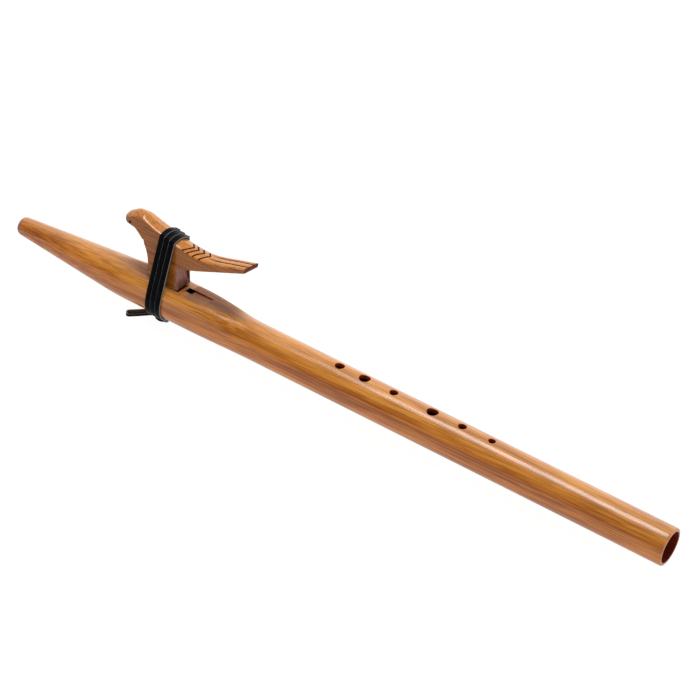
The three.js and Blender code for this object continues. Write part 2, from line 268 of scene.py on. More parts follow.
def quarter(steps, first=0):
    """The two offsets of a rounded edge, as shares of its radius, step by step round a quarter turn."""
    angles = [pi / 2 * i / steps for i in range(first, steps + 1)]
    return [(1 - sin(angle), 1 - cos(angle)) for angle in angles]


def select_only(piece=None):
    """Deselects everything, then selects the piece, if there is one, and makes it active."""
    bpy.ops.object.select_all(action="DESELECT")
    if piece:
        piece.select_set(True)
        bpy.context.view_layer.objects.active = piece


def new_piece(name, material, add, **settings):
    """A new simple shape, with its name and material."""
    select_only()
    add(**settings)
    piece = bpy.context.object
    piece.name = piece.data.name = name
    piece.data.materials.append(material)
    return piece


def pick_corners(piece, picked):
    """Selects the corners with these numbers, in edit mode."""
    bpy.ops.mesh.select_all(action="DESELECT")
    mesh = bmesh.from_edit_mesh(piece.data)
    mesh.verts.ensure_lookup_table()
    for index in picked:
        mesh.verts[index].select_set(True)
    mesh.select_flush(True)
    for edge in mesh.edges:
        edge.select_set(edge.verts[0].select and edge.verts[1].select)
    bmesh.update_edit_mesh(piece.data)



def next_corner(corner):
    """The number of the selected corner that this one was drawn out to."""
    others = (edge.other_vert(corner) for edge in corner.link_edges)
    return next(other.index for other in others if other.select)


def draw_out(name, rings, material, marked=False):
    """A solid drawn out ring by ring: a circle is put on the first ring and extruded to each next one.
    A marked piece keeps, at each corner, how far along and how far around it lies."""
    corners = len(rings[0])
    add = bpy.ops.mesh.primitive_circle_add
    piece = new_piece(name, material, add, vertices=corners, radius=MM, fill_type="NOTHING")
    bpy.ops.object.mode_set(mode="EDIT")
    bpy.ops.mesh.select_mode(type="VERT")
    bpy.ops.mesh.select_all(action="SELECT")
    order = list(range(corners))
    length = 0
    for number, ring in enumerate(rings):
        if number:
            bpy.ops.mesh.extrude_region_move()
        mesh = bmesh.from_edit_mesh(piece.data)
        mesh.verts.ensure_lookup_table()
        mesh.verts.index_update()
        if number:
            order = [next_corner(mesh.verts[i]) for i in order]
        for index, point in zip(order, ring):
            mesh.verts[index].co = point
        if marked:
            middle = sum(ring, Vector()) / corners
            length += (middle - last).length if number else 0
            last = middle
            layers = mesh.verts.layers.float
            along, turned = (layers.get(label) or layers.new(label) for label in ("along", "around"))
            mesh.verts.ensure_lookup_table()
            for place, index in enumerate(order):
                mesh.verts[index][along] = length
                mesh.verts[index][turned] = place / corners
        bmesh.update_edit_mesh(piece.data)
    for end in (order, range(corners)):
        pick_corners(piece, end)
        bpy.ops.mesh.edge_face_add()
    bpy.ops.mesh.select_all(action="SELECT")
    bpy.ops.mesh.remove_doubles(threshold=0.002 * MM)
    bpy.ops.mesh.normals_make_consistent(inside=False)
    bpy.ops.object.mode_set(mode="OBJECT")
    return piece


def block(name, low, high, material):
    """A cuboid between two corners in millimetres, for cutting."""
    low, high = at(*low), at(*high)
    piece = new_piece(name, material, bpy.ops.mesh.primitive_cube_add, size=1)
    piece.data.transform(Matrix.Translation((low + high) / 2) @ Matrix.Diagonal((*(high - low), 1)))
    return piece


def paint_faces(piece, material, picked):
    """Gives one more material to the faces that a test picks."""
    piece.data.materials.append(material)
    for face in piece.data.polygons:
        if picked(face):
            face.material_index = len(piece.data.materials) - 1
    return piece


def combine(piece, other, operation="DIFFERENCE"):
    """Cuts a solid by another, or keeps what the two share, and removes the second one."""
    select_only(piece)
    modifier = piece.modifiers.new("combine", "BOOLEAN")
    modifier.operation = operation
    modifier.solver = "MANIFOLD"
    modifier.material_mode = "TRANSFER"
    modifier.object = other
    bpy.ops.object.modifier_apply(modifier=modifier.name)
    bpy.data.objects.remove(other)


def finish_surface(piece, degrees):
    """Smooth shading, with the edges past this angle left crisp."""
    select_only(piece)
    bpy.ops.object.shade_smooth_by_angle(angle=radians(degrees), keep_sharp_edges=True)


# Colours and shared effects


def tint(*seen):
    """A colour from its red, green and blue as seen on a screen, from 0 to 255."""
    shares = [value / 255 for value in seen]
    return (*(v / 12.92 if v <= 0.04045 else ((v + 0.055) / 1.055) ** 2.4 for v in shares), 1)


class Board:
    """A node tree with short calls to add and link nodes."""

    def __init__(self, owner):
        self.tree = owner

    def add(self, kind, inputs=None, **settings):
        node = self.tree.nodes.new("ShaderNode" + kind)
        for key, value in settings.items():
            setattr(node, key, value)
        self.fill(node, inputs or {})
        return node

    def fill(self, node, inputs):
        """Gives the inputs of a node links or plain values."""
        for key, value in inputs.items():
            if isinstance(value, bpy.types.NodeSocket):
                self.tree.links.new(value, node.inputs[key])
            else:
                node.inputs[key].default_value = value

    def first(self, kind, inputs=None, **settings):
        """Adds a node, and gives its first output."""
        return self.add(kind, inputs, **settings).outputs[0]

    def place(self):
        """Where a point lies, in the object's own coordinates."""
        return self.add("TexCoord").outputs["Object"]

    def axes(self, place):
        return self.add("SeparateXYZ", {0: place}).outputs

    def join(self, *axes):
        return self.first("CombineXYZ", dict(zip("XYZ", axes)))

    def maths(self, operation, first, second, clamp=False):
        return self.first("Math", {0: first, 1: second}, operation=operation, use_clamp=clamp)

    def times(self, first, second):
        return self.maths("MULTIPLY", first, second)

    def vectors(self, operation, first, second):
        return self.first("VectorMath", {0: first, 1: second}, operation=operation)

    def blend(self, share, first, second, kind="MIX"):
        inputs = {0: share, 6: first, 7: second}
        return self.add("Mix", inputs, data_type="RGBA", blend_type=kind).outputs[2]

    def ramp(self, value, low, high, low_out=0.0, high_out=1.0):
        inputs = dict(enumerate((value, low, high, low_out, high_out)))
        return self.first("MapRange", inputs, interpolation_type="SMOOTHSTEP")

    def noise(self, place, scale, detail=2.0, rough=0.5):
        inputs = {"Vector": place, "Scale": scale, "Detail": detail, "Roughness": rough}
        return self.first("TexNoise", inputs)

    def streaky(self, place, scales, detail=2.0, rough=0.5):
        """Noise with a scale of its own along each axis."""
        return self.noise(self.vectors("MULTIPLY", place, scales), 1.0, detail, rough)

    def bump(self, height, strength, distance):
        return self.first("Bump", {"Height": height, "Strength": strength, "Distance": distance})

    def glow(self, strength):
        return self.first("Emission", {"Strength": strength})

    def backdrop(self, strength):
        return self.first("Background", {"Color": (1, 1, 1, 1), "Strength": strength})

    def mixed(self, share, first, second):
        """Two shaders mixed."""
        return self.first("MixShader", {0: share, 1: first, 2: second})


def clear_board(owner):
    """The emptied node tree of a material or a world."""
    owner.use_nodes = True
    owner.node_tree.nodes.clear()
    return Board(owner.node_tree)


def new_group(name, inputs, outputs):
    """A node group with named sockets, and its two ends."""
    tree = bpy.data.node_groups.new(name, "ShaderNodeTree")
    for label, value in inputs.items():
        kind = "Float" if isinstance(value, float) else "Color" if value else "Vector"
        socket = tree.interface.new_socket(label, in_out="INPUT", socket_type="NodeSocket" + kind)
        if value is not None:
            socket.default_value = value
    for label in outputs:
        kind = "Color" if label == "Color" else "Float"
        tree.interface.new_socket(label, in_out="OUTPUT", socket_type="NodeSocket" + kind)
    return Board(tree), tree.nodes.new("NodeGroupInput").outputs, tree.nodes.new("NodeGroupOutput")


body_grain = {
    "Ring Spacing": 0.0035,
    "Ring Strength": 0.36,
    "Broad Strength": 0.5,
    "Fibre Strength": 0.65,
    "Mark Strength": 0.45,
    "Pore Share": 0.15,
    "Pore Length": 0.006,
    "Lean": 0.03,
}
pith_place = (0, 0.055, -0.14)
pith_stretch = (0.012, 1, 1)
ring_wander_scales = (7, 30, 30)
ring_wander = 0.003
broad_scales = (15, 110, 110)
streak_scales = (8, 1050, 1050)
fibre_scales = (45, 4200, 4200)
mark_scales = (34, 620, 620)
pore_width_scale = 1300.0
pore_darkness = 0.45
pore_edge = 0.82
pore_spread = 0.3
pore_sharpness = 14.0
pore_tint = (0.35, 0.3, 0.28, 1)
wood_relief = 0.1
wood_coat_roughness = 0.08


def make_grain_group():
    """Straight wood grain along X: year rings, broad tones, fine fibres and short dark pores."""
    inputs = {"Place": None, "Light": (0.7, 0.3, 0.1, 1), "Dark": (0.4, 0.15, 0.05, 1), **body_grain}
    board, given, out = new_group("wood_grain", inputs, ("Color", "Height", "Tone"))
    axes = board.axes(given["Place"])
    level = board.maths("SUBTRACT", axes["Z"], board.times(axes["X"], given["Lean"]))
    place = board.join(axes["X"], axes["Y"], level)
    across = board.vectors("MULTIPLY", board.vectors("SUBTRACT", place, pith_place), pith_stretch)
    reach = board.add("VectorMath", {0: across}, operation="LENGTH").outputs["Value"]
    wander = board.times(board.streaky(place, ring_wander_scales), ring_wander)
    rings = board.maths("DIVIDE", board.maths("ADD", reach, wander), given["Ring Spacing"])
    fibres = board.streaky(place, fibre_scales, 2.0, 0.6)
    streaks = board.ramp(board.streaky(place, streak_scales, 1.0), 0.33, 0.67)
    parts = {
        "Ring Strength": board.ramp(board.noise(board.join(rings), 1.0, 3.0, 0.6), 0.32, 0.68),
        "Broad Strength": board.ramp(board.streaky(place, broad_scales), 0.33, 0.67),
        "Mark Strength": board.ramp(board.streaky(place, mark_scales), 0.36, 0.64),
        "Fibre Strength": board.maths("ADD", streaks, board.maths("SUBTRACT", fibres, 0.5)),
    }
    tone = 0.5
    for label, part in parts.items():
        part = board.times(board.maths("SUBTRACT", part, 0.5), given[label])
        tone = board.maths("ADD", tone, part, clamp=label == "Fibre Strength")
    pore_step = board.maths("DIVIDE", 1.0, given["Pore Length"])
    pores = board.streaky(place, board.join(pore_step, pore_width_scale, pore_width_scale), 1.0)
    edge = board.maths("SUBTRACT", pore_edge, board.times(given["Pore Share"], pore_spread))
    pores = board.maths("MULTIPLY", board.maths("SUBTRACT", pores, edge), pore_sharpness, clamp=True)
    colour = board.blend(tone, given["Dark"], given["Light"])
    deep = board.blend(1.0, given["Dark"], pore_tint, "MULTIPLY")
    colour = board.blend(board.times(pores, pore_darkness), colour, deep)
    height = board.maths("SUBTRACT", board.times(fibres, 0.5), pores)
    board.fill(out, {"Color": colour, "Height": height, "Tone": tone})
    return board.tree


pebble_scale = 2600.0
scuff_scale = 160.0
scuff_strength = 0.4
lace_highlight_streak_scales = (60, 45, 1)
leather_roughness = (0.34, 0.5)
leather_bump = 0.25
leather_relief = 0.12


def make_leather_group():
    """Leather: a fine pebbled surface with soft scuffs of wear, and long pale streaks along the lace that
    are painted highlights.
    """
    colours = {"Base": (0.01, 0.01, 0.01, 1), "Worn And Lit": (0.05, 0.05, 0.05, 1)}
    inputs = {"Place": None, "Run": None, **colours, "Wear And Highlight": 0.5}
    board, given, out = new_group("leather_skin", inputs, ("Color", "Height", "Roughness"))
    inputs = {"Vector": given["Place"], "Scale": pebble_scale, "Randomness": 1.0}
    pebble = board.add("TexVoronoi", inputs, feature="SMOOTH_F1").outputs["Distance"]
    scuff = board.ramp(board.noise(given["Place"], scuff_scale, 4.0, 0.6), 0.45, 0.75)
    # Pale streaks along the lace: painted highlights.
    streaks = board.ramp(board.streaky(given["Run"], lace_highlight_streak_scales, 3.0, 0.6), 0.5, 0.72)
    scuff = board.maths("MAXIMUM", board.times(scuff, scuff_strength), streaks)
    worn_and_lit = board.maths("MULTIPLY", scuff, given["Wear And Highlight"], clamp=True)
    colour = board.blend(worn_and_lit, given["Base"], given["Worn And Lit"])
    rough = board.ramp(scuff, 0.0, 1.0, *leather_roughness)
    board.fill(out, {"Color": colour, "Height": board.times(pebble, -1.0), "Roughness": rough})
    return board.tree


grain_group = make_grain_group()
leather_group = make_leather_group()


def new_material(name, plain):
    """A material with its shader on a board. plain is what is the same all over the surface."""
    material = bpy.data.materials.new(name)
    board = clear_board(material)
    shader = board.add("BsdfPrincipled", plain)
    board.add("OutputMaterial", {"Surface": shader.outputs[0]})
    return material, board, shader


def add_group(board, group, inputs):
    """A shared effect on a board, laid out by the object's own coordinates."""
    return board.add("Group", {"Place": board.place(), **inputs}, node_tree=group).outputs


def lay_grain(board, shader, light, dark, grain, bump):
    """Puts the shared grain on a shader, and gives its tone from 0 to 1."""
    group = add_group(board, grain_group, {"Light": light, "Dark": dark, **grain})
    relief = board.bump(group["Height"], bump, wood_relief * MM)
    board.fill(shader, {"Base Color": group["Color"], "Normal": relief})
    return group["Tone"]


def make_wood(name, light, dark, finish, grain, gloss, coat, bump):
    """Wood with the shared grain. finish is the roughness of its dark and light parts."""
    plain = {"IOR": gloss, "Coat Weight": coat, "Coat Roughness": wood_coat_roughness}
    material, board, shader = new_material(name, plain)
    tone = lay_grain(board, shader, tint(*light), tint(*dark), grain, bump)
    board.fill(shader, {"Roughness": board.ramp(tone, 0.0, 1.0, *finish)})
    return material


def make_body_wood():
    """Oiled cedar, paler on top partly by its own tone and partly as painted light, dull and mauve where
    the nest was sanded flat and, past the flat and down the far side, with a painted reflection of the
    pale room, and dark on the mouth's end grain.
    """
    material, board, shader = new_material("oiled_cedar", {"IOR": 1.4, "Coat Roughness": 0.24})
    axes = board.axes(board.place())
    # Paler toward the top: partly the cedar's own tone, partly painted light.
    pale = board.ramp(axes["Z"], *map(at_z, paler_and_lit_top_heights))
    along = lambda ends: board.ramp(axes["X"], *map(at_x, ends))
    # The dull mauve zone: the sanded nest, and past it and down the far side a painted reflection of the
    # pale room.
    edge = board.ramp(axes["X"], *map(at_x, sanded_and_sheen_fall), *map(at_z, sanded_and_sheen_levels))
    far = board.ramp(axes["Y"], *(y * MM for y in far_side_sheen_y), 0.0, far_side_sheen_drop * MM)
    above = board.maths("SUBTRACT", axes["Z"], board.maths("SUBTRACT", edge, far))
    sanded_and_sheen = board.ramp(above, 0.0, sanded_and_sheen_blend * MM)
    for ends in (sanded_and_sheen_start, sanded_and_sheen_end):
        sanded_and_sheen = board.times(sanded_and_sheen, along(ends))
    lip = board.times(*map(along, oiled_lip))
    sanded_and_sheen = board.times(sanded_and_sheen, board.ramp(lip, 0.0, 1.0, 1.0, oiled_lip_dullness))
    end_grain = along((mouth_ease, mouth_ease * end_grain_share))
    tones = []
    for low, high, dull, deep in body_tones:
        tones.append(board.blend(end_grain, board.blend(sanded_and_sheen, board.blend(pale, low, high), dull), deep))
    lay_grain(board, shader, *tones, body_grain, body_bump)
    finish = {"Roughness": body_roughness, "Coat Weight": body_coat}
    board.fill(shader, {key: board.ramp(sanded_and_sheen, 0.0, 1.0, *ends) for key, ends in finish.items()})
    return material


def make_leather(name, base, worn_and_lit, wear_and_highlight, rough_shift=0.0):
    material, board, shader = new_material(name, {"IOR": 1.16})
    labels = ("along", "around")
    run = (board.add("Attribute", attribute_name=label).outputs["Fac"] for label in labels)
    inputs = {"Run": board.join(*run), "Base": tint(*base), "Worn And Lit": tint(*worn_and_lit), "Wear And Highlight": wear_and_highlight}
    group = add_group(board, leather_group, inputs)
    rough = board.maths("ADD", group["Roughness"], rough_shift, clamp=True)
    relief = board.bump(group["Height"], leather_bump, leather_relief * MM)
    board.fill(shader, {"Base Color": group["Color"], "Roughness": rough, "Normal": relief})
    return material


def make_scoop_wood():
    """Bare wood inside the block's front hollow, with painted shade along its two upright rims and low
    down.
    """
    material, board, shader = new_material("bare_scoop", {"Roughness": 0.75, "IOR": 1.35})
    axes = board.axes(board.place())
    rim = board.ramp(board.maths("ABSOLUTE", axes["Y"], 0.0), *(y * MM for y in scoop_rim_shade_y))
    rim = board.times(rim, board.ramp(axes["Z"], *map(at_z, scoop_rim_shade_heights)))
    low = board.ramp(axes["Z"], *map(at_z, scoop_low_shade_heights), 0.0, scoop_low_shade)
    painted_shade = board.maths("MAXIMUM", rim, low)
    tones = [board.blend(painted_shade, bare, shaded) for bare, shaded in scoop_tones]
    lay_grain(board, shader, *tones, bird_grain, scoop_bump)
    return material


# Painted shade in the front hollow, along its upright rims and low down; each grain tone is paired with
# its shaded copy.
scoop_rim_shade_y = (6.7, 7.6)
scoop_rim_shade_heights = (19, 23)
scoop_low_shade_heights = (24, 19)
scoop_low_shade = 0.75
scoop_bump = 0.5
scoop_tones = (
    (tint(196, 148, 130), tint(108, 40, 14)),
    (tint(154, 112, 98), tint(72, 24, 8)),
)
bird_grain = dict(zip(body_grain, (0.0026, 0.15, 0.2, 0.45, 0.2, 0.6, 0.0018, 0.0)))
# Heights over which the body turns paler toward its top, partly painted light.
paler_and_lit_top_heights = (4.5, 13)
# Where the body is dull and mauve: sanded on the nest, and past it and down the far side a painted
# reflection of the pale room.
sanded_and_sheen_start = (98, 138)
sanded_and_sheen_fall = (205, 238)
sanded_and_sheen_levels = (16.3, 15.2)
sanded_and_sheen_end = (242, 214)
sanded_and_sheen_blend = 0.25
far_side_sheen_y = (2, 7)
far_side_sheen_drop = 4
oiled_lip = ((167.5, 170.5), (180, 176))
oiled_lip_dullness = 0.2
end_grain_share = 0.85
body_bump = 0.02
body_roughness = (0.3, 0.5)
body_coat = (0.95, 0.0)
# Two rows, the light and the dark grain tone; the columns are low down, high on top (partly painted
# light), dull where sanded (partly a painted reflection) and deep on the end grain.
body_tones = (
    (tint(222, 134, 46), tint(240, 160, 64), tint(184, 128, 88), tint(176, 104, 46)),
    (tint(166, 86, 22), tint(188, 112, 34), tint(154, 102, 66), tint(122, 62, 24)),
)
body_wood = make_body_wood()
plain_finish, hole_finish, block_finish = (0.5, 0.6), (0.6, 0.7), (0.4, 0.46)
hole_look = (hole_finish, body_grain, 1.3, 0.0, 0.4)
carved_look = (block_finish, bird_grain, 1.2, 1.0, 0.3)
end_look = (plain_finish, bird_grain, 1.35, 0.0, 0.5)
ramp_wood = make_wood(
    "sanded_ramp", (220, 150, 100), (184, 120, 78), plain_finish, body_grain, 1.45, 0.0, 0.4
)
bore_wood = make_wood("bare_bore", (124, 34, 10), (84, 20, 6), hole_finish, body_grain, 1.2, 0.0, 0.6)
# A dark copy of the wood: painted shade on the walls of the sound hole, in the slit under the block's
# front and in the gap under its hollow.
hole_shade_wood = make_wood("hole_wall_painted_shade", (62, 24, 16), (36, 12, 8), *hole_look)
finger_hole_wood = make_wood("finger_hole_wall", (206, 70, 30), (150, 42, 18), *hole_look)
bird_wood = make_wood("carved_hardwood", (192, 114, 40), (124, 64, 16), *carved_look)
# A paler copy of the carved wood for the faces that look up: painted light.
bird_lit_back_wood = make_wood("carved_back_painted_light", (238, 156, 68), (172, 98, 34), *carved_look)
tail_end_wood = make_wood("tail_end_grain", (128, 60, 26), (82, 34, 14), *end_look)
# A dark copy for the two grooves between the tail feathers: painted shade.
feather_groove_shade_wood = make_wood("feather_groove", (112, 54, 22), (72, 32, 12), *end_look)
scoop_wood = make_scoop_wood()
# A darker copy of the wood for the ramp's upright walls: painted shade.
ramp_wall_shade_wood = make_wood(
    "ramp_wall", (170, 64, 28), (120, 38, 14), plain_finish, body_grain, 1.3, 0.0, 0.4
)
groove_wood = make_wood(
    "burnt_groove", (112, 50, 26), (76, 32, 16), (0.55, 0.7), bird_grain, 1.3, 0.0, 0.5
)
# Each lace's second colour is what scuffs of wear and painted highlight streaks lighten it to.
lace_face = make_leather("black_lace", (2, 2, 3), (32, 33, 42), 0.5)
lace_edge = make_leather("lace_cut_edge", (124, 128, 132), (170, 174, 178), 0.8, 0.2)
lace_suede = make_leather("lace_flesh_side", (78, 58, 42), (124, 100, 80), 0.7, 0.3)


# Body

body_sides = 144


def body_radius(x):
    slope = (nest_radius - mouth_radius) / taper_length
    taper = mouth_radius + slope * x
    short = max(0, 1 - abs(x - taper_length) / taper_blend)
    nest = min(taper, nest_radius) - slope * taper_blend * short * short / 4
    return nest - (nest_radius - tube_radius) * smoothstep(x, plateau_end, tube_start)


def body_exponent(x):
    """2 where the body is round, and more where its top swells into the squarish nest."""
    rise = smoothstep(x, nest_start, plateau_start)
    fall = smoothstep(x, plateau_end, plateau_end + nest_run_out)
    return 2 + (nest_exponent - 2) * rise * (1 - fall)


def body_ring(x, radius):
    power = 2 / body_exponent(x)
    ring = []
    for i, (across, up) in enumerate(around(1, body_sides)):
        bend = power if i < body_sides / 2 else 1
        y = radius * copysign(abs(across) ** bend, across)
        z = radius * copysign(abs(up) ** bend, up)
        ring.append(at(x, y if abs(y) > 0.001 else 0, z if i % (body_sides // 2) else 0))
    return ring


def body_half_width(x, z):
    radius, exponent = body_radius(x), body_exponent(x)
    return radius * (1 - (max(z, 0) / radius) ** exponent) ** (1 / exponent)


def make_body_outside():
    rings = []
    for i in range(7):
        turn = mouth_ease_turn * i / 7
        x = mouth_ease * (1 - cos(turn)) / (1 - cos(mouth_ease_turn))
        reach = mouth_rounding * (1 - sin(turn) / sin(mouth_ease_turn))
        rings.append(body_ring(x, body_radius(x) - reach))
    stations = spaced(mouth_ease, nest_start, 5)
    stations += spaced(nest_start, tube_start, 2)[1:]
    rings += [body_ring(x, body_radius(x)) for x in stations]
    for x in spaced(tube_start, body_length - foot_rounding, 8)[1:-1]:
        rings.append(body_ring(x, tube_radius))
    for short, inward in quarter(6):
        rings.append(body_ring(body_length - foot_rounding * short, tube_radius - foot_rounding * inward))
    return draw_out("body_whole", rings, body_wood)


def bored(name, *profile):
    """A turned cutter for the bore, from pairs of place along X and radius."""
    rings = [[at(x, y, z) for y, z in around(radius, 72)] for x, radius in profile]
    return draw_out(name, rings, bore_wood)


def mouth_cutter():
    radius, rounding = mouth_hole_radius, mouth_hole_rounding
    return bored(
        "mouth_cutter",
        (-over, radius + rounding * 1.2),
        *((rounding * inward, radius + rounding * short) for short, inward in quarter(5, 1)),
        (mouth_hole_length, radius),
        (mouth_hole_length + slow_chamber_taper, slow_chamber_radius),
        (divider_start, slow_chamber_radius),
    )


def sound_chamber_cutter():
    return bored(
        "sound_chamber_cutter",
        (divider_start + divider_length, bore_radius),
        (body_length - foot_chamfer, bore_radius),
        (body_length - foot_chamfer / 2, bore_radius + foot_chamfer / 5),
        (body_length, bore_radius + foot_chamfer * 0.8),
        (body_length + over, bore_radius + foot_chamfer * 3),
    )


def upright(name, x, rings, material, corners=64):
    """A cutter standing on the plan of a hole, from pairs of a radius and what gives its height at a y."""
    rings = [[at(x + out, y, height(y)) for out, y in around(radius, corners)] for radius, height in rings]
    return draw_out(name, rings, material)


def tube_top(y):
    return sqrt(tube_radius**2 - y**2)


def finger_hole_cutter(x, radius):
    """Its top flares into the tube's surface, as a softened edge does."""
    rim, reach, steps = finger_hole_rim, 0.5, 5
    widest = radians(75)
    flare = [(0, rim * 1.2)]
    for i in range(steps + 1):
        turn = widest * i / steps
        flare.append((rim * (1 - cos(turn)), rim * (1 - sin(turn))))
    out, deep = flare[-1]
    flare.append((out + reach * sin(widest), deep - reach * cos(widest)))
    rings = [(radius, lambda y: bore_radius / 2)]
    rings += [(radius + out, lambda y, deep=deep: tube_top(y) - deep) for out, deep in flare]
    rings.append((rings[-1][0], lambda y: tube_radius + over))
    cutter = upright("finger_hole_cutter", x, rings, body_wood)
    corners = cutter.data.vertices
    shaft_top = at_z(tube_top(radius) - 2 * rim)
    in_shaft = lambda face: min(corners[i].co.z for i in face.vertices) < shaft_top
    return paint_faces(cutter, finger_hole_wood, in_shaft)


def ramp_cutter():
    start = sound_hole_start + sound_hole_length / 2
    end = sound_hole_end + ramp_length
    half = sound_hole_width / 2
    low, high = (start, -half, flat_height - ramp_depth_at_hole), (end, half, nest_radius + over)
    cutter = block("ramp_cutter", low, high, ramp_wood)
    for corner in cutter.data.vertices:
        if corner.co.x > at_x(mix(start, end, 0.5)) and corner.co.z < at_z(flat_height):
            corner.co.z = at_z(flat_height - ramp_depth_at_end)
    # Its upright walls get painted shade.
    return paint_faces(cutter, ramp_wall_shade_wood, lambda face: abs(face.normal.y) > 0.5)


def crisp_flat(piece):
    """Marks the outline of the nest's flat, so that shading stops there."""
    select_only(piece)
    bpy.ops.object.mode_set(mode="EDIT")
    mesh = bmesh.from_edit_mesh(piece.data)
    for edge in mesh.edges:
        level = [
            face.normal.z > 0.9999 and abs(face.calc_center_median().z - at_z(flat_height)) < 0.01 * MM
            for face in edge.link_faces
        ]
        if any(level) and not all(level):
            edge.smooth = False
    bmesh.update_edit_mesh(piece.data)
    bpy.ops.object.mode_set(mode="OBJECT")


def body_cutters():
    """The flat, the bore, the holes and the ramp, in the order in which they are cut."""
    beyond = nest_radius + over
    yield block("flat_cutter", (-over, -beyond, flat_height), (body_length / 2, beyond, beyond), body_wood)
    yield mouth_cutter()
    yield sound_chamber_cutter()
    air_exit = [(air_exit_radius, lambda y: 0), (air_exit_radius, lambda y: beyond)]
    yield upright("air_exit_cutter", air_exit_x, air_exit, bore_wood, 48)
    half = sound_hole_width / 2
    high = (sound_hole_end, half, beyond)
    yield block("sound_hole_cutter", (sound_hole_start, -half, 0), high, hole_shade_wood)
    # A shallow groove in painted shade under the block's front edge, standing for the shadow of the gap
    # there.
    low = (foot_front - slit_length, -foot_half_width, flat_height - slit_depth)
    yield block("slit_cutter", low, (foot_front, slit_far_side, beyond), hole_shade_wood)
    yield ramp_cutter()
    x = first_finger_hole
    for step, radius in zip(finger_hole_steps, finger_hole_radii):
        x += step
        yield finger_hole_cutter(x, radius)


def make_body():
    body = make_body_outside()
    for cutter in body_cutters():
        combine(body, cutter)
    crisp_flat(body)
    lower = body.copy()
    lower.data = body.data.copy()
    bpy.context.scene.collection.objects.link(lower)
    beyond = nest_radius + over
    for name, half, low, high in (("body_upper", body, 0, beyond), ("body_lower", lower, -beyond, 0)):
        half.name = name
        half.data.name = name
        kept = block("kept", (-over, -beyond, low), (body_length + over, beyond, high), bore_wood)
        combine(half, kept, "INTERSECT")
        finish_surface(half, 30)
        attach(half, "body")
    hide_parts("body_upper_half")
    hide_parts("body_lower_half")


# Bird block

crown_places = (
    1, 0.9, 0.87, 0.8, 0.74, 0.68, 0.6, 0.53, 0.48, 0.44, 0.41, 0.375, 0.34, 0.31, 0.27, 0.22, 0.15, 0.07,
)
feather_groove = 0.375
feather_start = 190
feather_full = 199
feather_depth = 1.4
feather_swell = 0.7
feather_groove_half_width = 0.1
feather_shade_half_width = 0.085
back_slope = 0.35
tail_trim = 230.2
tail_skew = 0.2
ridge_bow = 1.05
ridge_start = (118, 130)
ridge_end = (170, 182)
arris_bevel = 1.3
arris_bevel_slope = 0.49
keel_share = 0.3
foot_keel_share = 0.4
belly_places = (0.36, 0.86)
base_round_share = 0.14
foot_row_crowding = 1.4
corner_steps = 5
lower_rows = 14
upper_rows = 8


def bird_share(x):
    return (x - bird_start) / bird_length


def bird_section(along):
    half_width = bird_half_width * share_at(width_shares, along)
    return SimpleNamespace(
        x=bird_start + bird_length * along,
        half_width=half_width,
        belly=bird_base + bird_height * share_at(belly_shares, along),
        arris=bird_base + bird_height * share_at(back_shares, along),
        crown=bird_crown * share_at(crown_shares, along),
        round=half_width * share_at(arris_round_shares, along),
    )


def back_height(section, y):
    """How high the bird's back stands at a y, with its feather grooves."""
    half, arris, crown, edge = section.half_width, section.arris, section.crown, section.round
    y = abs(y)
    across = y / half
    height = arris + crown * (1 - across * across)
    ridged = smoothstep(section.x, *ridge_start) * (1 - smoothstep(section.x, *ridge_end))
    inner = half - arris_bevel
    bevel = arris_bevel * arris_bevel_slope
    if y > inner:
        roof = arris + arris_bevel_slope * (half - y)
    else:
        roof = arris + bevel + (crown - bevel) * (1 - (y / inner) ** ridge_bow)
    height = mix(height, roof, ridged)
    if y > half - edge:
        height -= edge - sqrt(max(0, edge**2 - (y - (half - edge)) ** 2))
    fade = smoothstep(section.x, feather_start, feather_full)
    place = min(1, across)
    groove = max(0, 1 - abs(place - feather_groove) / feather_groove_half_width)
    if place < feather_groove:
        middle, reach = 0, feather_groove
    else:
        middle, reach = (1 + feather_groove) / 2, (1 - feather_groove) / 2
    swell = 1 - ((place - middle) / reach) ** 2
    return height + fade * (feather_swell * (swell - 1) - feather_depth * groove)


def foot_side(section, z):
    """How far out the block's side stands at a place, with the foot's spread and soft corners."""
    share = min(1, max(0, (z - bird_base) / foot_top))
    half = mix(foot_half_width, section.half_width, share)
    behind = section.x - (foot_start - breast_lean * share**3)
    before = foot_front - section.x
    into_front = min(1, max(0, (section.belly - z) / foot_corner))
    for depth, weight in ((behind, 1), (before, into_front)):
        if depth < foot_corner:
            short = foot_corner - max(depth, 0)
            half -= weight * (foot_corner - sqrt(foot_corner**2 - short**2))
    return half


